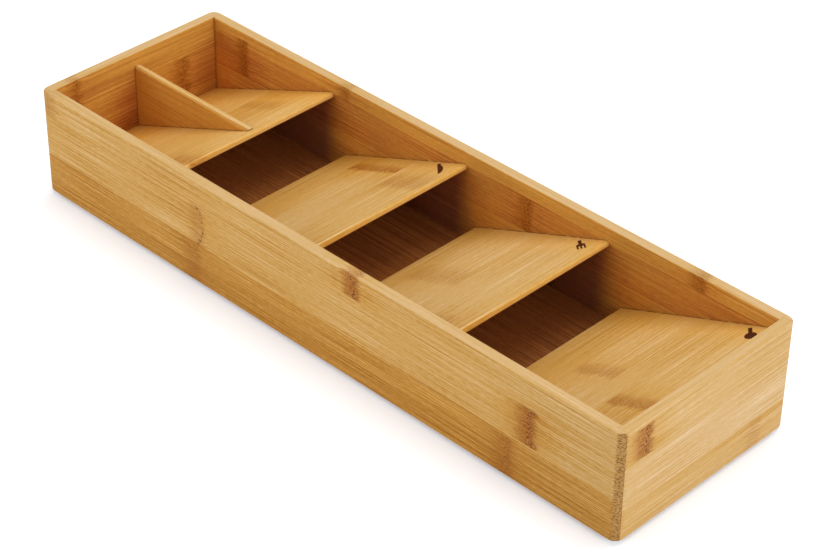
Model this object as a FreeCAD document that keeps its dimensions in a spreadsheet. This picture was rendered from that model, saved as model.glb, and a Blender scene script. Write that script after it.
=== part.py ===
import FreeCAD, Part
import os
import Sketcher

# A bamboo cutlery tray that stands in a drawer. It is a glued box with a small-items cell in two
# halves at one end, then one sloping shelf each for knives, forks and spoons. The free shelves start
# above the base panel, so that handles slide under the shelf before. Millimetres. +X runs along the
# tray from the small-items cell to the spoons, +Y points to the back wall and +Z up. The origin is
# on the ground, under the middle of the tray.

os.makedirs("parts", exist_ok=True)
doc = FreeCAD.newDocument("cutlery_tray")

SIZES = {
    # The box, without its feet
    "tray_length": 395.0,
    "tray_width": 119.5,
    "wall_height": 60.5,
    "wall_thickness": 6.0,
    "corner_radius": 5.0,
    "outer_edge_round": 1.0,
    "rim_edge_round": 0.6,
    # What a long wall leaves standing in front of an end wall's end grain
    "corner_tongue": 3.0,
    # Room for glue at every joint
    "glue_line": 0.05,
    # The base panel and its groove, measured up from the walls' lower edge
    "base_recess": 4.2,
    "base_thickness": 5.0,
    "base_groove_depth": 2.0,
    # All shelves. A drop is measured down from the rim, a lift up from the base panel
    "shelf_thickness": 3.0,
    "shelf_housing_depth": 2.0,
    "shelf_top_round": 1.5,
    "shelf_under_round": 0.7,
    "shelf_end_drop": 6.4,
    "tier_start_lift": 10.4,
    # The small-items cell and its divider
    "small_items_run": 93.4,
    "small_items_start_lift": 7.1,
    "divider_thickness": 4.2,
    "divider_drop": 7.5,
    "divider_top_round": 1.7,
    "divider_nose_height": 0.8,
    "divider_housing_depth": 2.0,
    # Knives, forks and spoons. A mouth is the open way down in front of a shelf
    "knife_mouth": 8.6,
    "knife_run": 87.2,
    "fork_mouth": 6.8,
    "fork_run": 86.8,
    "spoon_mouth": 9.4,
    "spoon_end_drop": 5.0,
    # The four stick-on bumpers
    "foot_height": 2.0,
    "foot_radius": 4.0,
    "foot_tread_radius": 2.8,
    "foot_edge_round": 0.6,
    "foot_inset": 5.4,
}

sizes = doc.addObject("Spreadsheet::Sheet", "sizes")
for row, (alias, size) in enumerate(SIZES.items(), 1):
    sizes.set(f"A{row}", str(size))
    sizes.setAlias(f"A{row}", alias)
doc.recompute()

# Planes and heights that several pieces share, as expressions on the sheet
GLUE = "sizes.glue_line"
END_OUTSIDE = "(sizes.tray_length / 2)"
END_INSIDE = "(sizes.tray_length / 2 - sizes.wall_thickness)"
SIDE_OUTSIDE = "(sizes.tray_width / 2)"
SIDE_INSIDE = "(sizes.tray_width / 2 - sizes.wall_thickness)"
TONGUE_INSIDE = "(sizes.tray_width / 2 - sizes.corner_tongue)"
WALL_FOOT = "sizes.foot_height"
RIM = "(sizes.foot_height + sizes.wall_height)"
BASE_UNDER = "(sizes.foot_height + sizes.base_recess)"
BASE_TOP = f"({BASE_UNDER} + sizes.base_thickness)"
SHELF_END_TOP = f"({RIM} - sizes.shelf_end_drop)"

# A tiny allowance when an edge is looked up by its place
NEAR = 0.01


def value(expression):
    """The number that an expression on the sheet gives."""
    return float(doc.getObject("sizes").evalExpression(expression))


def new_body(name):
    """An empty body, whose name is the node's name."""
    body = doc.addObject("PartDesign::Body", name)
    body.Label = name
    return body


def draw(body, name, plane, outlines, away="0"):
    """A sketch on the body's own plane, moved off it by away, along the plane's normal.

    Each outline is a closed run of corners, and each corner is a pair of expressions."""
    sketch = body.newObject("Sketcher::SketchObject", name)
    support = next(item for item in body.Origin.OriginFeatures if item.Role == plane)
    sketch.AttachmentSupport = (support, [""])
    sketch.MapMode = "FlatFace"
    sketch.setExpression("AttachmentOffset.Base.z", away)
    for outline in outlines:
        first = sketch.GeometryCount
        count = len(outline)
        corners = [FreeCAD.Vector(value(across), value(up), 0) for across, up in outline]
        for index in range(count):
            line = Part.LineSegment(corners[index], corners[(index + 1) % count])
            sketch.addGeometry(line, False)
        for index in range(count):
            before = first + (index - 1) % count
            joined = Sketcher.Constraint("Coincident", before, 2, first + index, 1)
            sketch.addConstraint(joined)
        for index, (across, up) in enumerate(outline):
            spot = corners[index]
            for kind, number, expression in (("DistanceX", spot.x, across), ("DistanceY", spot.y, up)):
                held = sketch.addConstraint(Sketcher.Constraint(kind, first + index, 1, number))
                sketch.setExpression(f"Constraints[{held}]", expression)
    return sketch


def rectangle(low_across, high_across, low_up, high_up):
    """The four corners of an upright rectangle."""
    return [
        (low_across, low_up),
        (high_across, low_up),
        (high_across, high_up),
        (low_across, high_up),
    ]


def pad(body, name, sketch, length, both_ways=False):
    """Adds the sketch's outline as a solid, up its normal or half each way."""
    feature = body.newObject("PartDesign::Pad", name)
    feature.Profile = sketch
    feature.setExpression("Length", length)
    if both_ways:
        feature.SideType = "Symmetric"
    doc.recompute()
    return feature


def pocket(body, name, sketch, depth=None, along_normal=False):
    """Cuts the sketch's outline out: to a depth on one side, or through all both ways."""
    before = body.Shape.Volume
    feature = body.newObject("PartDesign::Pocket", name)
    feature.Profile = sketch
    if depth is None:
        feature.Type = "ThroughAll"
        feature.SideType = "Symmetric"
    else:
        feature.setExpression("Length", depth)
        feature.Reversed = along_normal
    doc.recompute()
    if body.Shape.Volume >= before:
        raise ValueError(f"{name} cuts nothing")
    return feature


def rounding(body, name, edges_of, spots, radius):
    """Rounds each edge whose middle lies at one of the spots, with None where a coordinate is free."""
    names = []
    for number, edge in enumerate(edges_of.Shape.Edges, 1):
        middle = edge.valueAt((edge.FirstParameter + edge.LastParameter) / 2)
        for spot in spots:
            misses = [abs(seen - want) for seen, want in zip(middle, spot) if want is not None]
            if max(misses) < NEAR:
                names.append(f"Edge{number}")
    if len(names) < len(spots):
        raise ValueError(f"{name} misses an edge")
    feature = body.newObject("PartDesign::Fillet", name)
    feature.Base = (edges_of, names)
    feature.setExpression("Radius", radius)
    doc.recompute()
    return feature


class Shelf:
    """One sloping board: where its top starts and ends, seen from the side."""

    def __init__(self, name, low_x, high_x, low_top, high_top, free_low=True, free_high=True):
        self.name = name
        self.low_x = low_x
        self.high_x = high_x
        self.low_top = low_top
        self.high_top = high_top
        self.free_low = free_low
        self.free_high = free_high
        self.steepness = f"(({high_top} - {low_top}) / ({high_x} - {low_x}))"
        self.stretch = f"sqrt(1 + {self.steepness} ^ 2)"

    def top_at(self, x, gap="0"):
        return f"({self.low_top} + {self.steepness} * ({x} - {self.low_x}) + {gap} * {self.stretch})"

    def under_at(self, x, gap="0"):
        return f"({self.top_at(x)} - (sizes.shelf_thickness + {gap}) * {self.stretch})"

    def ends(self, housing):
        """X of the two ends. An end at an end wall keeps a glue line, and its housing runs out there."""
        low_gap = GLUE if not self.free_low else "0"
        high_gap = GLUE if not self.free_high else "0"
        if housing:
            low_gap = f"(-{GLUE})"
            high_gap = f"(-{GLUE})"
        return f"({self.low_x} + {low_gap})", f"({self.high_x} - {high_gap})"

    def outline(self, housing=False):
        """The board's side view, or that of its housing, a glue line larger all round."""
        gap = GLUE if housing else "0"
        low, high = self.ends(housing)
        return [
            (low, self.under_at(low, gap)),
            (high, self.under_at(high, gap)),
            (high, self.top_at(high, gap)),
            (low, self.top_at(low, gap)),
        ]

    def corner_spots(self, y, housing=False):
        """The places of the free ends' edges, upper and lower, halfway along Y."""
        under_low, under_high, top_high, top_low = [
            (value(x), y, value(z)) for x, z in self.outline(housing)
        ]
        upper = [top_low] * self.free_low + [top_high] * self.free_high
        lower = [under_low] * self.free_low + [under_high] * self.free_high
        return upper, lower


def along(start, *steps):
    """An expression for a place some sheet sizes further along."""
    return "(" + " + ".join([start] + [f"sizes.{step}" for step in steps]) + ")"


small_low = f"(-{END_INSIDE})"
small_high = along(small_low, "small_items_run")
knife_low = along(small_high, "knife_mouth")
knife_high = along(knife_low, "knife_run")
fork_low = along(knife_high, "fork_mouth")
fork_high = along(fork_low, "fork_run")
spoon_low = along(fork_high, "spoon_mouth")
small_start = along(BASE_TOP, "small_items_start_lift")
tier_start = along(BASE_TOP, "tier_start_lift")
spoon_end = f"({RIM} - sizes.spoon_end_drop)"

SMALL_SHELF = Shelf(
    "small_items_shelf", small_low, small_high, small_start, SHELF_END_TOP, free_low=False
)
KNIFE_SHELF = Shelf("knife_shelf", knife_low, knife_high, tier_start, SHELF_END_TOP)
FORK_SHELF = Shelf("fork_shelf", fork_low, fork_high, tier_start, SHELF_END_TOP)
SPOON_SHELF = Shelf(
    "spoon_shelf", spoon_low, END_INSIDE, tier_start, spoon_end, free_high=False
)
SHELVES = [SMALL_SHELF, KNIFE_SHELF, FORK_SHELF, SPOON_SHELF]

CORNER_RADIUS = "min(sizes.corner_radius; 0.95 * sizes.wall_thickness)"
TOP_ROUND = "min(sizes.shelf_top_round; 0.5 * sizes.shelf_thickness)"
UNDER_ROUND = "min(sizes.shelf_under_round; 0.25 * sizes.shelf_thickness)"


def round_outside(body, blank, outer_spots, corner_spots):
    """Rounds the blank's upright corners, then the outer edges at the rim and the lower edge."""
    corners = rounding(body, "corners", blank, corner_spots, CORNER_RADIUS)
    edges = [(x, y, value(level)) for x, y in outer_spots for level in (RIM, WALL_FOOT)]
    return rounding(body, "outer_edges", corners, edges, "sizes.outer_edge_round")


def long_wall(name, side):
    """A long board: side is -1 for the front and 1 for the back.

    Its ends are rebated so that a tongue covers the end walls' end grain. Inside, it has a groove for
    the base panel and a housing for each shelf."""
    body = new_body(name)
    outside = f"({side} * {SIDE_OUTSIDE})"
    inside = f"({side} * {SIDE_INSIDE})"
    board = draw(
        body,
        "board",
        "XY_Plane",
        [rectangle(f"-{END_OUTSIDE}", END_OUTSIDE, inside, outside)],
        WALL_FOOT,
    )
    blank = pad(body, "blank", board, "sizes.wall_height")
    middle_height = value(f"({RIM} + {WALL_FOOT}) / 2")
    corner_spots = [
        (end * value(END_OUTSIDE), value(outside), middle_height) for end in (-1, 1)
    ]
    rounded = round_outside(body, blank, [(0, value(outside))], corner_spots)
    rounding(body, "rim_edge", rounded, [(0, value(inside), value(RIM))], "sizes.rim_edge_round")

    shoulder = f"({END_INSIDE} - {GLUE})"
    past_end = f"({END_OUTSIDE} + sizes.wall_thickness)"
    tongue = f"({side} * {TONGUE_INSIDE})"
    past_face = f"({side} * ({SIDE_INSIDE} - sizes.wall_thickness))"
    rebates = draw(
        body,
        "rebates",
        "XY_Plane",
        [
            rectangle(f"-{past_end}", f"-{shoulder}", past_face, tongue),
            rectangle(shoulder, past_end, past_face, tongue),
        ],
    )
    pocket(body, "rebate_cut", rebates)

    groove_floor = f"({side} * ({SIDE_INSIDE} + sizes.base_groove_depth + {GLUE}))"
    groove = draw(
        body,
        "base_groove",
        "YZ_Plane",
        [rectangle(past_face, groove_floor, f"({BASE_UNDER} - {GLUE})", f"({BASE_TOP} + {GLUE})")],
    )
    pocket(body, "base_groove_cut", groove)

    housings = draw(
        body,
        "shelf_housings",
        "XZ_Plane",
        [shelf.outline(housing=True) for shelf in SHELVES],
        f"-{inside}",
    )
    depth = f"(sizes.shelf_housing_depth + {GLUE})"
    cut = pocket(body, "shelf_housing_cut", housings, depth, along_normal=side < 0)
    halfway = side * value(f"{SIDE_INSIDE} + {depth} / 2")
    upper = []
    lower = []
    for shelf in SHELVES:
        shelf_upper, shelf_lower = shelf.corner_spots(halfway, housing=True)
        upper += shelf_upper
        lower += shelf_lower
    cut = rounding(body, "housing_upper", cut, upper, f"{TOP_ROUND} + {GLUE}")
    rounding(body, "housing_lower", cut, lower, f"{UNDER_ROUND} + {GLUE}")
    return body


def end_wall(name, side):
    """A short board: side is -1 for the left end and 1 for the right.

    Its inner rim edge is eased between the long walls only. Its ends sit in their rebates, and its
    groove takes the base panel."""
    body = new_body(name)
    outside = f"({side} * {END_OUTSIDE})"
    inside = f"({side} * {END_INSIDE})"
    between = draw(
        body,
        "between_long_walls",
        "XY_Plane",
        [rectangle(inside, outside, f"-{SIDE_INSIDE}", SIDE_INSIDE)],
        WALL_FOOT,
    )
    core = pad(body, "core", between, "sizes.wall_height")
    rounding(body, "rim_edge", core, [(value(inside), 0, value(RIM))], "sizes.rim_edge_round")

    in_rebates = draw(
        body,
        "in_rebates",
        "XY_Plane",
        [
            rectangle(inside, outside, f"-{SIDE_OUTSIDE}", f"-{SIDE_INSIDE}"),
            rectangle(inside, outside, SIDE_INSIDE, SIDE_OUTSIDE),
        ],
        WALL_FOOT,
    )
    blank = pad(body, "blank", in_rebates, "sizes.wall_height")
    middle_height = value(f"({RIM} + {WALL_FOOT}) / 2")
    corner_spots = [
        (value(outside), end * value(SIDE_OUTSIDE), middle_height) for end in (-1, 1)
    ]
    round_outside(body, blank, [(value(outside), 0)], corner_spots)

    past_side = f"({SIDE_OUTSIDE} + sizes.wall_thickness)"
    past_inside = f"({side} * ({END_INSIDE} - sizes.wall_thickness))"
    past_outside = f"({side} * ({END_OUTSIDE} + sizes.wall_thickness))"
    trimmed = f"({TONGUE_INSIDE} - {GLUE})"
    behind_tongues = draw(
        body,
        "behind_tongues",
        "XY_Plane",
        [
            rectangle(past_inside, past_outside, f"-{past_side}", f"-{trimmed}"),
            rectangle(past_inside, past_outside, trimmed, past_side),
        ],
    )
    pocket(body, "trim_cut", behind_tongues)

    groove_floor = f"({side} * ({END_INSIDE} + sizes.base_groove_depth + {GLUE}))"
    groove = draw(
        body,
        "base_groove",
        "XZ_Plane",
        [rectangle(past_inside, groove_floor, f"({BASE_UNDER} - {GLUE})", f"({BASE_TOP} + {GLUE})")],
    )
    pocket(body, "base_groove_cut", groove)
    return body


def house_divider(body):
    """Cuts the divider's upright housing into the left end wall."""
    half = f"(sizes.divider_thickness / 2 + {GLUE})"
    slot = draw(
        body,
        "divider_housing",
        "YZ_Plane",
        [rectangle(f"-{half}", half, DIVIDER_FOOT, f"({DIVIDER_TOP} + {GLUE})")],
        f"-{END_INSIDE}",
    )
    depth = f"(sizes.divider_housing_depth + {GLUE})"
    cut = pocket(body, "divider_housing_cut", slot, depth)
    halfway = -value(f"{END_INSIDE} + {depth} / 2")
    top = value(f"{DIVIDER_TOP} + {GLUE}")
    spots = [(halfway, edge * value(half), top) for edge in (-1, 1)]
    rounding(body, "divider_housing_top", cut, spots, f"{DIVIDER_ROUND} + {GLUE}")


def base_panel():
    """The flat panel, which reaches into the grooves of all four walls."""
    body = new_body("base_panel")
    half_length = f"({END_INSIDE} + sizes.base_groove_depth)"
    half_width = f"({SIDE_INSIDE} + sizes.base_groove_depth)"
    panel = draw(
        body,
        "panel",
        "XY_Plane",
        [rectangle(f"-{half_length}", half_length, f"-{half_width}", half_width)],
        BASE_UNDER,
    )
    pad(body, "board", panel, "sizes.base_thickness")
    return body


def sloping_shelf(shelf):
    """A sloping board that reaches into its housings in both long walls."""
    body = new_body(shelf.name)
    side_view = draw(body, "side_view", "XZ_Plane", [shelf.outline()])
    width = f"(2 * ({SIDE_INSIDE} + sizes.shelf_housing_depth))"
    board = pad(body, "board", side_view, width, both_ways=True)
    upper, lower = shelf.corner_spots(0)
    board = rounding(body, "upper_edges", board, upper, TOP_ROUND)
    rounding(body, "lower_edges", board, lower, UNDER_ROUND)
    return body


# The divider stands on the small-items shelf. Its top is level, and runs out above the shelf's high end
DIVIDER_TOP = f"({RIM} - sizes.divider_drop)"
DIVIDER_FOOT = SMALL_SHELF.top_at(f"(-{END_INSIDE})")
DIVIDER_ROUND = "min(sizes.divider_top_round; 0.45 * sizes.divider_thickness)"


def small_items_divider():
    """The upright wedge in the middle of the small-items cell."""
    body = new_body("small_items_divider")
    start = f"(-{END_INSIDE} - sizes.divider_housing_depth)"
    nose_rise = f"({DIVIDER_TOP} - sizes.divider_nose_height - {SMALL_SHELF.low_top})"
    nose = f"({SMALL_SHELF.low_x} + {nose_rise} / {SMALL_SHELF.steepness})"
    half = "(sizes.divider_thickness / 2)"
    plan = draw(
        body, "plan", "XY_Plane", [rectangle(start, nose, f"-{half}", half)], BASE_TOP
    )
    board = pad(body, "board", plan, f"({DIVIDER_TOP} - {BASE_TOP})")
    middle = value(f"({start} + {nose}) / 2")
    edges = [(middle, side * value(half), value(DIVIDER_TOP)) for side in (-1, 1)]
    rounding(body, "top_edges", board, edges, DIVIDER_ROUND)

    before = f"({start} - sizes.divider_thickness)"
    beyond = f"({nose} + sizes.divider_thickness)"
    below = f"({BASE_TOP} - sizes.base_thickness)"
    in_wall = f"(-{END_INSIDE})"
    under = draw(
        body,
        "under_side",
        "XZ_Plane",
        [
            [
                (before, below),
                (beyond, below),
                (beyond, SMALL_SHELF.top_at(beyond, GLUE)),
                (in_wall, SMALL_SHELF.top_at(in_wall, GLUE)),
                (before, SMALL_SHELF.top_at(in_wall, GLUE)),
            ]
        ],
    )
    pocket(body, "under_cut", under)
    return body


def foot(name, end, side):
    """A soft bumper under a corner, narrower where it treads."""
    body = new_body(name)
    half_view = draw(
        body,
        "half_view",
        "XZ_Plane",
        [
            [
                ("0", "0"),
                ("sizes.foot_tread_radius", "0"),
                ("sizes.foot_radius", "sizes.foot_height"),
                ("0", "sizes.foot_height"),
            ]
        ],
    )
    turned = body.newObject("PartDesign::Revolution", "turned")
    turned.Profile = half_view
    turned.ReferenceAxis = (half_view, ["V_Axis"])
    turned.Angle = 360
    doc.recompute()
    tread = (None, None, 0.0)
    rounding(body, "tread_edge", turned, [tread], "min(sizes.foot_edge_round; 0.4 * sizes.foot_height)")
    body.setExpression("Placement.Base.x", f"{end} * ({END_OUTSIDE} - sizes.foot_inset)")
    body.setExpression("Placement.Base.y", f"{side} * ({SIDE_OUTSIDE} - sizes.foot_inset)")
    return body


pieces = [long_wall("front_wall", -1), long_wall("back_wall", 1)]
left_end_wall = end_wall("left_end_wall", -1)
house_divider(left_end_wall)
pieces += [left_end_wall, end_wall("right_end_wall", 1), base_panel()]
pieces += [sloping_shelf(shelf) for shelf in SHELVES]
pieces += [small_items_divider()]
for side_name, side in (("front", -1), ("back", 1)):
    for end_name, end in (("left", -1), ("right", 1)):
        pieces.append(foot(f"foot_{side_name}_{end_name}", end, side))
doc.recompute()

for item in doc.Objects:
    if "Invalid" in item.State or "Error" in item.State:
        raise ValueError(f"{item.Label} failed")
for piece in pieces:
    shape = piece.Shape
    if shape.isNull() or not shape.isValid() or len(shape.Solids) != 1:
        raise ValueError(f"{piece.Label} is not one valid solid")
for piece in pieces:
    piece.Shape.exportStep(f"parts/{piece.Label}.step")
    print(f"{piece.Label}: {piece.Shape.Volume / 1000:.2f} cm3")
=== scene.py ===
import bpy
import math
from collections import namedtuple
from mathutils import Matrix, Vector


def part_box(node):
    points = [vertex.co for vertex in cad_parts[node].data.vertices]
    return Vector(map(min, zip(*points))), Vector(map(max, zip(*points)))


# A bamboo cutlery tray: four glued walls, a base panel, four sloping shelves, a divider and four
# silicone bumpers. The pieces come from the frame, and this script gives each its finish. Metres in
# the scene, millimetres inside the materials. +X runs along the tray, +Y to the back wall, +Z up.

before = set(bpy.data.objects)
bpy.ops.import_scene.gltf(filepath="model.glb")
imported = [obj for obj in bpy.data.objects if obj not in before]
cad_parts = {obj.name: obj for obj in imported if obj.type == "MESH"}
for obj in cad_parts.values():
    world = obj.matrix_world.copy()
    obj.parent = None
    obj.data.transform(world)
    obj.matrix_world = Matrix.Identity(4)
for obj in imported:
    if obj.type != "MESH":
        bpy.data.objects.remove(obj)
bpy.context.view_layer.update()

MM = 0.001
ALONG_TRAY = Vector((1, 0, 0))
TO_BACK = Vector((0, 1, 0))
UP = Vector((0, 0, 1))
SHELVES = ("small_items_shelf", "knife_shelf", "fork_shelf", "spoon_shelf")

# Colours of the bamboo from its darkest fibre to its palest: the gold of the sanded faces outside,
# and two darker copies that paint shade: the amber of the faces that look into the tray, and the
# umber of the base and of the faces under the shelves.
GOLDEN = [
    (0.00, (0.270, 0.095, 0.014)),
    (0.25, (0.465, 0.188, 0.019)),
    (0.45, (0.610, 0.300, 0.050)),
    (0.60, (0.672, 0.384, 0.099)),
    (0.75, (0.730, 0.462, 0.184)),
    (1.00, (0.830, 0.640, 0.400)),
]
SHADED_AMBER = [
    (0.00, (0.230, 0.055, 0.012)),
    (0.25, (0.430, 0.122, 0.025)),
    (0.50, (0.560, 0.214, 0.040)),
    (0.75, (0.675, 0.340, 0.057)),
    (1.00, (0.800, 0.430, 0.110)),
]
SHADED_UMBER = [
    (0.00, (0.190, 0.062, 0.018)),
    (0.50, (0.400, 0.138, 0.034)),
    (1.00, (0.600, 0.250, 0.070)),
]
SILICONE_GREYS = [
    (0.3, (0.36, 0.40, 0.45)),
    (0.7, (0.52, 0.56, 0.60)),
]
END_GRAIN_TAN = (0.530, 0.280, 0.075)
END_GRAIN_DOT = (0.210, 0.085, 0.012)
KNOT_BROWN = (0.400, 0.128, 0.012)
SPECK_BROWN = (0.140, 0.032, 0.006)
BURNT_BROWN = (0.070, 0.014, 0.003)

# Tints: each multiplies the colour under it. Some paint shade or light, as said above them.
# Darkens the glue lines, with painted shade in the corners and seams and on the base toward the back.
GLUE_LINE_AND_SHADE = (0.40, 0.27, 0.18)
HONEY_STAIN = (1.10, 0.97, 0.58)
# A cooler tint on the rims, the right end wall's outer face and the front wall's right end.
COOL_TINT = (0.95, 0.990, 1.16)
# Painted shade below the shelves.
SHELF_SHADE_TINT = (0.44, 0.38, 1.00)
# Painted light just past the shelves' sharp edges and toward the first corner.
PAINTED_LIGHT_TINT = (1.30, 1.24, 1.22)

# Marks in the bamboo: their length along the fibres and how far apart they lie across them in
# millimetres, how much they change a tone or a place, and how finely they are broken up.
Marks = namedtuple("Marks", "length apart share detail", defaults=(1.0, 2))
FINE_FIBRES = Marks(length=66, apart=0.52, share=0.82)
COARSE_FIBRES = Marks(length=110, apart=1.50, share=0.04)
FLECKS = Marks(length=4, apart=0.55, share=0.36, detail=1)
DRIFT = Marks(length=150, apart=7.0, share=0.10, detail=1)
SWIRL = Marks(length=12, apart=7, share=5, detail=1)
RIM_LINES = Marks(length=90, apart=0.55, share=0.7)
KNOT_FRAY = Marks(length=26, apart=0.7, share=9)
KNOT_WAVER = Marks(length=6, apart=2.2, share=6)
KNOT_MOTTLE = Marks(length=1.8, apart=1.2)
KNOT_GRIT = Marks(length=1.1, apart=0.85, detail=1)
SEAM_BREAKS = Marks(length=7, apart=5)

# Fibre bundles that show as dots: their length and spacing in millimetres, and how far from its
# middle a dot ends and how far it is full, in shares of the spacing.
Bundles = namedtuple("Bundles", "length apart outer inner")
PORES = Bundles(length=60, apart=0.85, outer=0.50, inner=0.18)
END_DOTS = Bundles(length=60, apart=0.75, outer=0.58, inner=0.32)

# A knot is where a strip's bamboo stem had its joint. It is at a distance along the fibres, from one
# edge of its strip to the other, so wide each way, so dark, and with so dark a ring at its far side.
Knot = namedtuple("Knot", "at low high half dark ring", defaults=(0.0,))

# A burnt mark: its shape, where its handle starts and where its head points. Both are places on a
# shelf, down its slope from the sharp edge and out from the back wall.
BurntMark = namedtuple("BurntMark", "shape start end")


class Wire:
    """One output of a material's nodes. Sums on wires add the nodes that work them out."""

    def __init__(self, finish, socket):
        self.finish = finish
        self.socket = socket

    def sum(self, operation, *terms):
        """Works out terms that are wires or values, as vectors if a wire holds a vector or a colour."""
        wires = [term for term in terms if isinstance(term, Wire)]
        vector = any(wire.socket.type in ("VECTOR", "RGBA") for wire in wires)
        kind = "ShaderNodeVectorMath" if vector else "ShaderNodeMath"
        return self.finish.node(kind, {"operation": operation}, terms)

    def __add__(self, other):
        return self.sum("ADD", self, other)

    def __radd__(self, other):
        return self.sum("ADD", other, self)

    def __sub__(self, other):
        return self.sum("SUBTRACT", self, other)

    def __rsub__(self, other):
        return self.sum("SUBTRACT", other, self)

    def __mul__(self, other):
        return self.sum("MULTIPLY", self, other)

    def __rmul__(self, other):
        return self.sum("MULTIPLY", other, self)

    def __truediv__(self, other):
        return self.sum("DIVIDE", self, other)

    def __rtruediv__(self, other):
        return self.sum("DIVIDE", other, self)

    def __abs__(self):
        return self.sum("ABSOLUTE", self)

    def root(self):
        return self.sum("SQRT", self)

    def least(self, other):
        return self.sum("MINIMUM", self, other)

    def most(self, other):
        return self.sum("MAXIMUM", self, other)

    def along(self, direction):
        """How far a place lies in a direction."""
        settings = {"operation": "DOT_PRODUCT"}
        return self.finish.node("ShaderNodeVectorMath", settings, (self, direction), "Value")

    def rise(self, low, high):
        """Goes softly from 0 to 1 between low and high, or from 1 to 0 if low is the larger."""
        ends = {"Value": self, "From Min": low, "From Max": high}
        return self.finish.node("ShaderNodeMapRange", {"interpolation_type": "SMOOTHSTEP"}, ends)

    def between(self, low, high, soft):
        """1 from low to high and 0 elsewhere, with soft edges."""
        return self.rise(low - soft, low + soft) * self.rise(high + soft, high - soft)

    def near(self, value, reach):
        """1 at a value, and 0 from a reach on either side of it."""
        return abs(self - value).rise(reach, 0)

    def through(self, stops):
        """The colour that a value has on a ramp."""
        return self.finish.node("ShaderNodeValToRGB", {"stops": stops}, (self,))

    def mixed(self, other, share, blend="MIX"):
        """This colour, with a share of the other."""
        settings = {"data_type": "RGBA", "blend_type": blend}
        return self.finish.node("ShaderNodeMix", settings, {0: share, 6: self, 7: other}, 2)


class Finish:
    """A material with a Principled shader."""

    def __init__(self, name):
        self.material = bpy.data.materials.new(name)
        self.material.use_nodes = True
        self.tree = self.material.node_tree
        self.shader = self.tree.nodes["Principled BSDF"]

    def node(self, kind, settings=None, sockets=(), output=0):
        """Adds a node: its settings first, then the value or the wire of each socket."""
        made = self.tree.nodes.new(kind)
        for name, setting in (settings or {}).items():
            if name == "stops":
                ramp = made.color_ramp
                while len(ramp.elements) < len(setting):
                    ramp.elements.new(0.5)
                for element, (position, colour) in zip(ramp.elements, setting):
                    element.position = position
                    element.color = (*colour, 1.0)
            else:
                setattr(made, name, setting)
        pairs = sockets.items() if isinstance(sockets, dict) else enumerate(sockets)
        for key, given in pairs:
            self.join(made.inputs[key], given)
        return Wire(self, made.outputs[output])

    def join(self, target, given):
        """Gives a socket a wire, or a value that is the same all over."""
        if isinstance(given, Wire):
            self.tree.links.new(given.socket, target)
        elif target.type == "RGBA":
            target.default_value = (*given, 1.0)
        elif target.type == "VECTOR" and isinstance(given, (int, float)):
            target.default_value = (given, given, given)
        else:
            target.default_value = given

    def give(self, socket, given):
        """Sets one of the shader's sockets."""
        self.join(self.shader.inputs[socket], given)

    def millimetres(self):
        """The place of a point on the piece, in millimetres."""
        return self.node("ShaderNodeTexCoord", output="Object") * (1 / MM)

    def wear(self, name):
        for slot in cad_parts[name].material_slots:
            slot.material = self.material


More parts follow.
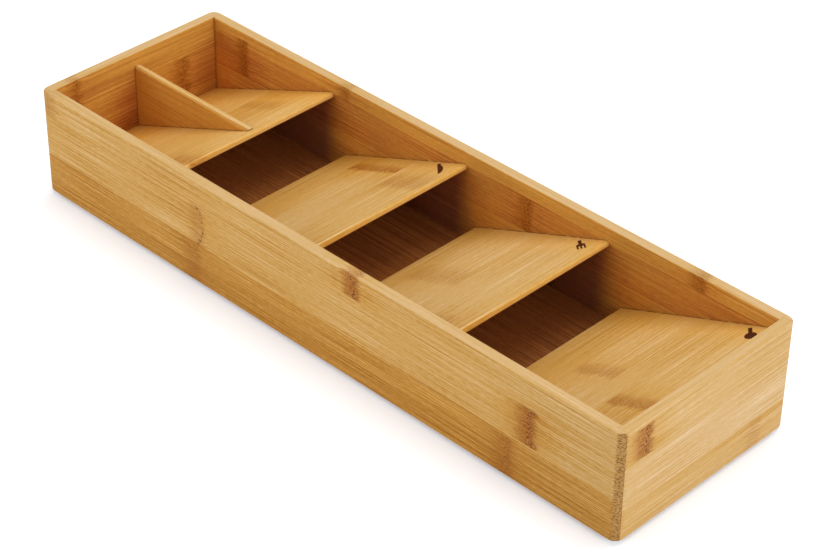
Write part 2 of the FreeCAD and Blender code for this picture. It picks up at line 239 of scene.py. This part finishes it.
class Bamboo(Finish):
    """A board of glued bamboo strips, whose fibres run through it.

    start is where its fibres begin, grain points along them and across points over the strips. A
    strip is the place of its edge and how much paler it is than the one before. bold is how strong
    the fibres are, and calm_rim how much of that a face that looks up loses. slant is how far a face
    leans to the fibres' ends before it shows end grain, and where it shows only that. Faces that
    look into the tray or under a shelf get painted shade: those that look toward one of the listed
    shaded directions take the darker shaded colours, at a tone that is paler by the shaded tone.

    A place in the board is u along its fibres, v across its strips and w through it.
    """

    # Reaches, cores and depths are in millimetres. A share says how much a mark does of what it could.
    STRIP_EDGE_SOFT = 0.15
    GLUE_LINE_REACH = 0.4
    GLUE_LINE_SHARE = 0.12
    HAZE_REACH = 26
    HAZE_CORE = 3
    HAZE_SHARE = 0.13
    FIBRE_SHADE = 0.34
    END_GRAIN_SHARE = 0.9
    END_DOT_SHARE = 0.8
    RING_BOW = 0.8
    RING_WAVER = 0.12
    ROUGHNESS = 0.50
    GLOSS = 0.12
    PORE_DEPTH = 0.3
    RELIEF_STRENGTH = 0.35
    RELIEF_DEPTH = 0.06

    def __init__(
        self,
        name,
        start,
        grain,
        across,
        strips,
        knots,
        tone,
        shaded,
        bold=1.0,
        calm_rim=0.0,
        slant=(0.12, 0.45),
        shaded_tone=0.0,
        shaded_colours=SHADED_AMBER,
    ):
        super().__init__(name)
        self.place = self.millimetres()
        self.facing = self.node("ShaderNodeTexCoord", output="Normal")
        self.grain = grain
        self.slant = slant
        self.knots = knots
        from_start = self.place - start
        self.u = from_start.along(grain)
        self.v = from_start.along(across)
        self.w = from_start.along(grain.cross(across))
        bent = self.v + self.round_knots() * self.ripple(SWIRL, self.v) * SWIRL.share
        bold = bold * (1 - self.toward(UP) * calm_rim)
        self.fine = self.ripple(FINE_FIBRES, bent) * bold
        coarse = self.ripple(COARSE_FIBRES, bent) * bold
        flecks = self.ripple(FLECKS, bent) * bold
        drift = self.ripple(DRIFT, bent)
        self.pores = self.dots(PORES, bent)
        tone = tone + self.fine * FINE_FIBRES.share + coarse * COARSE_FIBRES.share
        tone = tone + flecks * FLECKS.share + drift * DRIFT.share
        for edge, change in strips:
            tone = tone + self.v.rise(edge - self.STRIP_EDGE_SOFT, edge + self.STRIP_EDGE_SOFT) * change
            tone = tone - self.v.near(edge, self.GLUE_LINE_REACH) * self.GLUE_LINE_SHARE
        for knot in knots:
            beside = abs(self.u - knot.at).rise(self.HAZE_REACH, self.HAZE_CORE)
            haze = beside * self.v.between(knot.low, knot.high, 1.5)
            tone = tone - haze * knot.dark * self.HAZE_SHARE
        self.tone = tone
        self.shaded_tone = shaded_tone
        self.shaded_colours = shaded_colours
        self.shaded_share = 0
        for direction in shaded:
            self.shaded_share = self.toward(direction).most(self.shaded_share)

    def spot(self, marks, v):
        """The place in the board, in lengths of the marks along the fibres and gaps across them."""
        parts = (self.u / marks.length, v / marks.apart, self.w / marks.apart)
        return self.node("ShaderNodeCombineXYZ", None, parts)

    def noise(self, marks, v):
        """Noise from 0 to 1 that has the shape of the marks."""
        sockets = {"Vector": self.spot(marks, v), "Scale": 1.0, "Detail": marks.detail}
        return self.node("ShaderNodeTexNoise", None, sockets)

    def ripple(self, marks, v):
        """The same noise about 0."""
        return self.noise(marks, v) - 0.5

    def dots(self, bundles, v):
        """1 in the middle of each fibre bundle, and 0 beside it."""
        sockets = {"Vector": self.spot(bundles, v), "Scale": 1.0}
        from_middle = self.node("ShaderNodeTexVoronoi", None, sockets)
        return from_middle.rise(bundles.outer, bundles.inner)

    def round_knots(self):
        """1 at the knots, fading along the strips, where the fibres swirl."""
        fade = 9
        close = 0
        for knot in self.knots:
            beside = abs(self.u - knot.at).rise(knot.half + fade, knot.half)
            close = beside * self.v.between(knot.low, knot.high, 1.0) + close
        return close

    def toward(self, direction):
        """1 where the surface looks toward a direction."""
        return self.facing.along(direction).rise(0.4, 0.8)

    def stained(self, stain, share):
        self.colour = self.colour.mixed(stain, share, "MULTIPLY")

    def covered(self, colour, share):
        self.colour = self.colour.mixed(colour, share)

    def paint(self):
        """Turns the tone into colours, with painted shade on the faces that look into the tray or under
        a shelf, then adds the knots and the end grain.
        """
        self.colour = self.tone.through(GOLDEN)
        # Painted shade: faces that look into the tray or under a shelf take the darker colours.
        shaded = (self.tone + self.shaded_tone).through(self.shaded_colours)
        self.covered(shaded, self.shaded_share)
        self.colour = self.colour * (self.fine * self.FIBRE_SHADE + 1)
        self.paint_knots()
        cut = abs(self.facing.along(self.grain)).rise(*self.slant)
        self.covered(END_GRAIN_TAN, cut * self.END_GRAIN_SHARE)
        self.covered(END_GRAIN_DOT, cut * self.dots(END_DOTS, self.v) * self.END_DOT_SHARE)

    def paint_knots(self):
        """Paints each knot: a frayed patch, a column of dark specks in it and a dotted far side."""
        fray = self.ripple(KNOT_FRAY, self.v) * KNOT_FRAY.share
        frayed = self.u + fray + self.ripple(KNOT_WAVER, self.v) * KNOT_WAVER.share
        mottle = self.noise(KNOT_MOTTLE, self.v).rise(0.40, 0.62)
        grit = self.noise(KNOT_GRIT, self.v).rise(0.50, 0.60)
        patches = 0
        specks = 0
        for knot in self.knots:
            strip = self.v.between(knot.low, knot.high, 0.4)
            halves_past = (frayed - knot.at) / knot.half
            patch = halves_past.rise(-2.2, -0.5) * halves_past.rise(1.5, 0.8) * strip
            patches = patch * knot.dark + patches
            column = halves_past.near(0.25, 1.0) * strip
            specks = column * knot.dark**1.5 + specks
            if knot.ring:
                off_middle = self.v - (knot.low + knot.high) / 2
                bow = off_middle * off_middle / (knot.high - knot.low) * self.RING_BOW
                far_side = knot.at + knot.half - bow
                wavy = self.u + (frayed - self.u) * self.RING_WAVER
                line = abs(wavy - far_side).rise(1.4, 0.3)
                specks = line * strip * knot.ring + specks
        self.covered(KNOT_BROWN, patches * (0.6 + mottle * 0.4))
        self.covered(SPECK_BROWN, specks * grit)

    def done(self, name):
        """Joins the colour, the sheen and the fibres' relief to the shader, and dresses the board."""
        self.give("Base Color", self.colour)
        self.give("Roughness", self.ROUGHNESS - self.fine * 0.2 + self.pores * 0.08)
        self.give("Specular IOR Level", self.GLOSS)
        relief = self.fine - self.pores * self.PORE_DEPTH
        sockets = {
            "Strength": self.RELIEF_STRENGTH,
            "Distance": self.RELIEF_DEPTH * MM,
            "Height": relief,
        }
        self.give("Normal", self.node("ShaderNodeBump", None, sockets))
        self.wear(name)


def box(name):
    """A node's lowest and highest corner in millimetres."""
    low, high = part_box(name)
    return low / MM, high / MM


def top_of_shelf(name):
    """Where a shelf's sharp upper edge meets the back wall, and the way that its top looks."""
    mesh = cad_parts[name].data
    top = max(mesh.polygons, key=lambda face: face.area * face.normal.z)
    spot = mesh.vertices[top.vertices[0]].co / MM
    high_x = box(name)[1].x
    high_z = spot.z - (high_x - spot.x) * top.normal.x / top.normal.z
    return Vector((high_x, inner_back, high_z)), top.normal.copy()


tray_low, tray_high = box("front_wall")
front_face = tray_low.y
rim = tray_high.z
inner_front = tray_high.y
inner_back = box("back_wall")[0].y
outer_left = box("left_end_wall")[0].x
inner_left = box("left_end_wall")[1].x
outer_right = box("right_end_wall")[1].x
base_top = box("base_panel")[1].z


def dress_front_wall():
    strips = [(13.0, -0.01), (37.0, -0.17), (50.0, -0.06)]
    knots = [
        Knot(at=230, low=0, high=13, half=4, dark=1.0),
        Knot(at=121, low=14, high=37, half=4, dark=0.34, ring=0.9),
        Knot(at=341, low=15, high=36, half=4.5, dark=1.0),
        Knot(at=117, low=37, high=62, half=5, dark=0.45),
        Knot(at=328, low=38, high=62, half=5, dark=0.65),
        Knot(at=4, low=0, high=13, half=7, dark=0.3),
    ]
    start = Vector((outer_left, front_face, rim))
    board = Bamboo(
        "front_wall_bamboo",
        start,
        ALONG_TRAY,
        -UP,
        strips,
        knots,
        tone=0.60,
        bold=1.25,
        calm_rim=0.5,
        shaded=[TO_BACK],
    )
    board.tone = board.tone + board.toward(UP) * 0.09
    under_rim = board.v.between(1.5, 8, 1)
    lines = board.ripple(RIM_LINES, board.v) * under_rim
    board.tone = board.tone + lines * RIM_LINES.share
    board.paint()
    near_end = board.u.rise(290, 395)
    board.stained(COOL_TINT, board.toward(UP).most(near_end))
    board.done("front_wall")


def dress_back_wall():
    strips = [(8.0, -0.18), (27.0, 0.08)]
    knots = [
        Knot(at=23, low=4.5, high=27, half=3.5, dark=0.95),
        Knot(at=102, low=0, high=8, half=3, dark=0.6),
        Knot(at=229, low=8, high=27, half=4, dark=0.85),
        Knot(at=337, low=0, high=8, half=4, dark=0.85),
        Knot(at=150, low=27, high=62, half=5, dark=0.4),
        Knot(at=245, low=27, high=62, half=5, dark=0.5),
    ]
    start = Vector((inner_left, inner_back, rim))
    board = Bamboo(
        "back_wall_bamboo",
        start,
        ALONG_TRAY,
        -UP,
        strips,
        knots,
        tone=0.66,
        bold=1.25,
        calm_rim=0.6,
        shaded=[-TO_BACK],
        shaded_tone=0.06,
    )
    board.tone = board.tone + board.toward(UP) * 0.05
    board.paint()
    board.stained(COOL_TINT, board.toward(UP))

    # Painted shade darkens the wall's inner face below each shelf, and painted light brightens it just
    # past each shelf's sharp edge and toward the first corner.
    x = board.place.along(ALONG_TRAY)
    shelf_shade = 0
    painted_light = board.u.rise(26, 6)
    for name in SHELVES:
        edge, normal = top_of_shelf(name)
        low, high = box(name)
        beside = high.x - inner_left
        painted_light = board.u.rise(beside - 1, beside + 9) * board.u.rise(beside + 34, beside + 16) + painted_light
        below = (board.place - edge).along(-normal).rise(0.5, 3.0)
        shelf_shade = below * x.rise(high.x + 4, high.x - 9) * x.rise(low.x - 1, low.x + 1) + shelf_shade
    inner_face = board.toward(-TO_BACK)
    board.stained(PAINTED_LIGHT_TINT, painted_light * board.v.rise(12, 24) * inner_face * 0.7)
    board.stained(SHELF_SHADE_TINT, shelf_shade * inner_face * 0.95)
    # A dark glue line with painted shade in the inner corner by the left end wall.
    corner = board.u.rise(1.8, 0.2)
    board.stained(GLUE_LINE_AND_SHADE, corner * inner_face * 0.4)
    board.done("back_wall")


def dress_left_end_wall():
    strips = [(16.0, -0.04), (38.0, 0.04)]
    knots = [
        Knot(at=18, low=0, high=16, half=3, dark=0.75),
        Knot(at=90, low=16, high=38, half=4, dark=0.75),
        Knot(at=50, low=38, high=62, half=4, dark=0.45),
    ]
    start = Vector((outer_left, front_face, rim))
    board = Bamboo(
        "left_end_wall_bamboo",
        start,
        TO_BACK,
        -UP,
        strips,
        knots,
        tone=0.68,
        bold=1.1,
        calm_rim=0.5,
        slant=(0.35, 0.90),
        shaded=[ALONG_TRAY],
        shaded_tone=0.03,
    )
    board.tone = board.tone + board.toward(UP) * 0.03

    # Painted shade: low in each cell the wall is darker toward the cell's far corner, with a little
    # painted light a short way before the back corner. The painted shade goes through the board, so the
    # outer face has it too.
    divider_low, divider_high = box("small_items_divider")
    to_divider = divider_low.y - front_face
    behind_divider = divider_high.y - front_face
    front_cell_shade = board.u.rise(to_divider - 26, to_divider - 4) * board.u.rise(behind_divider, to_divider)
    back_cell_shade = board.u.rise(92, 108) * 0.17 - board.u.between(64, 80, 4) * 0.04
    board.tone = board.tone - (front_cell_shade * 0.29 + back_cell_shade) * board.v.rise(6, 24)
    board.paint()
    board.stained(COOL_TINT, board.toward(UP))
    # A dark glue line with painted shade in the inner corner by the back wall.
    seam = (board.u - (inner_back - front_face)).near(0, 1.2)
    board.stained(GLUE_LINE_AND_SHADE, seam * board.toward(ALONG_TRAY) * 0.4)
    board.done("left_end_wall")


def dress_right_end_wall():
    strips = [(20.0, 0.05), (43.5, -0.09)]
    knots = [
        Knot(at=15, low=2, high=19, half=4.5, dark=0.95),
        Knot(at=95, low=43, high=62, half=4, dark=0.2),
    ]
    start = Vector((outer_right, front_face, rim))
    board = Bamboo(
        "right_end_wall_bamboo",
        start,
        TO_BACK,
        -UP,
        strips,
        knots,
        tone=0.67,
        bold=0.9,
        calm_rim=0.4,
        slant=(0.35, 0.90),
        shaded=[-ALONG_TRAY],
    )
    board.tone = board.tone + board.u.rise(0, 60) * 0.03
    dark_line = board.v.near(45.5, 2.5) * board.u.rise(50, 75)
    board.tone = board.tone - dark_line * 0.14
    board.paint()
    outer_face = board.toward(ALONG_TRAY)
    board.stained(COOL_TINT, board.toward(UP).most(outer_face * 0.6))
    board.done("right_end_wall")


def dress_base_panel():
    strips = [(24.0, 0.06), (49.0, -0.10), (78.0, 0.08)]
    knots = [
        Knot(at=66, low=24, high=49, half=5, dark=0.4),
        Knot(at=278, low=0, high=24, half=6, dark=0.9),
        Knot(at=190, low=49, high=78, half=5, dark=0.5),
        Knot(at=330, low=78, high=112, half=6, dark=0.5),
    ]
    start = Vector((inner_left, inner_front, base_top))
    board = Bamboo(
        "base_panel_bamboo",
        start,
        ALONG_TRAY,
        TO_BACK,
        strips,
        knots,
        tone=0.55,
        bold=2.0,
        shaded=[UP],
        shaded_colours=SHADED_UMBER,
    )
    board.paint()
    # Painted shade: the base's top darkens toward the back wall, under the shelves.
    shade_toward_back_wall = board.v.rise(45, 105)
    board.stained(GLUE_LINE_AND_SHADE, shade_toward_back_wall * board.toward(UP) * 0.35)
    board.done("base_panel")


def bar(s, t, low, high, half, middle=0):
    """How far outside a bar a place is, with less than nothing inside it."""
    return (abs(s - (low + high) / 2) - (high - low) / 2).most(abs(t - middle) - half)


def oval(s, t, middle, long_radius, short_radius, aside=0):
    """The same for an oval."""
    ds = (s - middle) / long_radius
    dt = (t - aside) / short_radius
    return ((ds * ds + dt * dt).root() - 1) * short_radius


# The burnt marks: s is how far a place lies from the handle's start toward the head, and t how far
# it lies to the side, both in millimetres.


def knife_mark(s, t):
    flat_back = -0.9
    blade = oval(s, t, middle=8.6, long_radius=7.4, short_radius=2.9, aside=flat_back)
    return blade.most(flat_back - t).least(bar(s, t, low=0, high=5.0, half=0.9))


def fork_mark(s, t):
    handle = bar(s, t, low=0, high=7.2, half=0.85)
    shape = handle.least(oval(s, t, middle=6.8, long_radius=1.9, short_radius=2.25))
    for aside in (-1.75, 0, 1.75):
        shape = shape.least(bar(s, t, low=6.8, high=12.2, half=0.5, middle=aside))
    return shape


def spoon_mark(s, t):
    handle = bar(s, t, low=0, high=6.5, half=1.0)
    return handle.least(oval(s, t, middle=9.2, long_radius=3.7, short_radius=3.0))


def burn(board, mark, top_face):
    """Burns a mark into the top of a shelf."""
    start = Vector(mark.start)
    axis = (Vector(mark.end) - start).normalized()
    down = board.v - start.x
    out = board.u - start.y
    s = down * axis.x + out * axis.y
    t = out * axis.x - down * axis.y
    board.covered(BURNT_BROWN, mark.shape(s, t).rise(0.14, -0.14) * top_face)


def dress_shelf(name, strips, knots, tone=0.64, honey=0, mark=None):
    """A sloping shelf, with its fibres from the back wall to the front and its strips down the slope."""
    start, normal = top_of_shelf(name)
    slope = TO_BACK.cross(normal)
    if slope.z > 0:
        slope = -slope
    board = Bamboo(
        name + "_bamboo",
        start,
        -TO_BACK,
        slope,
        strips,
        knots,
        tone=tone,
        bold=1.1,
        shaded=[-normal],
        shaded_colours=SHADED_UMBER,
    )
    board.paint()
    top_face = board.toward(normal)
    low_end = board.v.rise(25, 88)
    by_back_wall = board.u.rise(26, 0)
    board.stained(HONEY_STAIN, (low_end * 0.6 + by_back_wall * 0.6 + honey).least(1) * top_face)
    sharp_edge = board.facing.along(-slope).rise(0.5, 0.95)
    board.stained(HONEY_STAIN, sharp_edge * 0.5)
    # A broken dark glue line with painted contact shade where the shelf meets the walls.
    wall_seam = abs(abs(board.place.along(TO_BACK)) - inner_back).rise(0.8, 0.3)
    broken = board.noise(SEAM_BREAKS, board.v).rise(0.38, 0.52)
    board.stained(GLUE_LINE_AND_SHADE, wall_seam * (0.35 + broken * 0.65))
    if mark:
        burn(board, mark, top_face)
    board.done(name)


def dress_small_items_shelf():
    dress_shelf(
        "small_items_shelf",
        tone=0.69,
        honey=0.45,
        strips=[(20.0, -0.05), (50.0, 0.06), (76.0, -0.06)],
        knots=[
            Knot(at=22, low=20, high=50, half=4, dark=0.3),
            Knot(at=94, low=0, high=20, half=4, dark=0.4),
        ],
    )


def dress_knife_shelf():
    dress_shelf(
        "knife_shelf",
        strips=[(35.0, 0.05), (62.0, -0.06)],
        knots=[
            Knot(at=27, low=3, high=33, half=6, dark=0.35),
            Knot(at=14, low=36, high=73, half=3, dark=0.75),
            Knot(at=85, low=62, high=90, half=4, dark=0.3),
        ],
        mark=BurntMark(knife_mark, start=(18.2, 2.6), end=(7.0, 13.0)),
    )


def dress_fork_shelf():
    dress_shelf(
        "fork_shelf",
        strips=[(12.0, 0.05), (46.0, 0.04), (80.0, -0.06)],
        knots=[
            Knot(at=55, low=46, high=83, half=6, dark=0.28),
            Knot(at=96, low=12, high=46, half=4, dark=0.3),
        ],
        mark=BurntMark(fork_mark, start=(17.4, 3.2), end=(8.2, 11.2)),
    )


def dress_spoon_shelf():
    dress_shelf(
        "spoon_shelf",
        strips=[(30.0, 0.0), (44.0, 0.05), (70.0, -0.05)],
        knots=[
            Knot(at=60, low=44, high=70, half=4, dark=0.38),
            Knot(at=82, low=1, high=30, half=4, dark=0.6),
        ],
        mark=BurntMark(spoon_mark, start=(14.0, 2.9), end=(5.6, 12.6)),
    )


def dress_divider():
    low, high = box("small_items_divider")
    start = Vector((low.x, low.y, high.z))
    board = Bamboo(
        "small_items_divider_bamboo",
        start,
        ALONG_TRAY,
        -UP,
        strips=[(14.0, 0.06)],
        knots=[Knot(at=58, low=14, high=40, half=4, dark=0.3)],
        tone=0.70,
        shaded=[TO_BACK, -TO_BACK],
    )
    board.paint()
    edge, normal = top_of_shelf("small_items_shelf")
    over_shelf = (board.place - edge).along(normal)
    from_wall = board.place.along(ALONG_TRAY) - inner_left
    # A dark glue line with painted contact shade where the divider meets the shelf and the end wall.
    seam = over_shelf.rise(0.8, 0.2).most(from_wall.rise(1.2, 0.2))
    board.stained(GLUE_LINE_AND_SHADE, seam * board.shaded_share * 0.6)
    board.done("small_items_divider")


def dress_feet():
    """Cloudy grey silicone, with a dimpled skin."""
    silicone = Finish("clear_grey_silicone")
    place = silicone.millimetres()
    cloud = silicone.node("ShaderNodeTexNoise", None, {"Vector": place, "Scale": 0.6})
    dimples = silicone.node("ShaderNodeTexNoise", None, {"Vector": place, "Scale": 4.0})
    silicone.give("Base Color", cloud.through(SILICONE_GREYS))
    silicone.give("Roughness", 0.40 + cloud * 0.2)
    sockets = {"Strength": 0.2, "Distance": 0.05 * MM, "Height": dimples}
    silicone.give("Normal", silicone.node("ShaderNodeBump", None, sockets))
    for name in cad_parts:
        if name.startswith("foot"):
            silicone.wear(name)


dress_front_wall()
dress_back_wall()
dress_left_end_wall()
dress_right_end_wall()
dress_base_panel()
dress_small_items_shelf()
dress_knife_shelf()
dress_fork_shelf()
dress_spoon_shelf()
dress_divider()
dress_feet()

# The camera stands at the photograph's viewing angle: turned about the upright, tilted down and rolled
# by these angles in degrees.
CAMERA_PLACE = (0.69293, -0.69524, 0.71529)
CAMERA_TURN = 44.235
CAMERA_TILT = 35.508
CAMERA_ROLL = 0.799
CAMERA_LENS = 105.80
SENSOR_WIDTH = 36.0


def place_camera():
    camera = bpy.data.objects.new("camera", bpy.data.cameras.new("camera"))
    bpy.context.scene.collection.objects.link(camera)
    camera.location = CAMERA_PLACE
    rotation = (
        Matrix.Rotation(math.radians(CAMERA_TURN), 4, "Z")
        @ Matrix.Rotation(math.radians(90 - CAMERA_TILT), 4, "X")
        @ Matrix.Rotation(math.radians(CAMERA_ROLL), 4, "Z")
    )
    camera.rotation_euler = rotation.to_euler()
    camera.data.lens = CAMERA_LENS
    camera.data.sensor_fit = "HORIZONTAL"
    camera.data.sensor_width = SENSOR_WIDTH
    bpy.context.scene.camera = camera


# A white floor. What looks at it directly or in a reflection sees paper lit from within, so that
# the tray's shadow stays soft and pale. The light that it sends on to the tray is plain.
HALF_FLOOR = 3.0
WHITE = (1.0, 1.0, 1.0)
OWN_LIGHT = (0.25, 0.275, 0.305)
PLAIN_PAPER = (0.85, 0.85, 0.85)


def white_paper():
    paper = Finish("white_paper")
    paper.give("Base Color", WHITE)
    paper.give("Specular IOR Level", 0.0)
    paper.give("Emission Color", OWN_LIGHT)
    paper.give("Emission Strength", 1.0)
    plain = paper.node("ShaderNodeBsdfDiffuse", None, {"Color": PLAIN_PAPER})
    looks = paper.node("ShaderNodeLightPath", output="Is Camera Ray")
    for kind in ("Is Glossy Ray", "Is Transmission Ray"):
        looks = looks.most(paper.node("ShaderNodeLightPath", output=kind))
    lit = Wire(paper, paper.shader.outputs[0])
    shown = paper.node("ShaderNodeMixShader", None, (looks, plain, lit))
    paper.join(paper.tree.nodes["Material Output"].inputs["Surface"], shown)
    return paper


def lay_floor():
    corners = [(x * HALF_FLOOR, y * HALF_FLOOR, 0) for x, y in ((-1, -1), (1, -1), (1, 1), (-1, 1))]
    floor_mesh = bpy.data.meshes.new("floor")
    floor_mesh.from_pydata(corners, [], [(0, 1, 2, 3)])
    floor_mesh.materials.append(white_paper().material)
    floor = bpy.data.objects.new("floor", floor_mesh)
    bpy.context.scene.collection.objects.link(floor)


# Light: an even white studio, a large lamp overhead, a low one at the near end and a fill in front.
# Places and sizes are in metres, and powers in watts.
STUDIO_LEVEL = 0.6


def light_studio():
    world = bpy.data.worlds.new("studio")
    bpy.context.scene.world = world
    world.use_nodes = True
    background = world.node_tree.nodes["Background"]
    background.inputs["Color"].default_value = (*WHITE, 1.0)
    background.inputs["Strength"].default_value = STUDIO_LEVEL


def lamp(name, place, aim, size, power):
    data = bpy.data.lights.new(name, "AREA")
    data.shape = "SQUARE"
    data.size = size
    data.energy = power
    made = bpy.data.objects.new(name, data)
    made.location = place
    made.rotation_euler = (Vector(aim) - Vector(place)).to_track_quat("-Z", "Y").to_euler()
    bpy.context.scene.collection.objects.link(made)


place_camera()
lay_floor()
light_studio()
lamp("overhead", place=(0.0, 0.5, 1.9), aim=(0, 0, 0), size=1.4, power=16)
lamp("near_end", place=(1.95, -0.05, 0.55), aim=(0, 0, 0.03), size=0.9, power=10)
lamp("front_fill", place=(-1.1, -1.85, 0.7), aim=(0, 0, 0.03), size=1.2, power=9.5)

bpy.context.scene.view_settings.view_transform = "Standard"
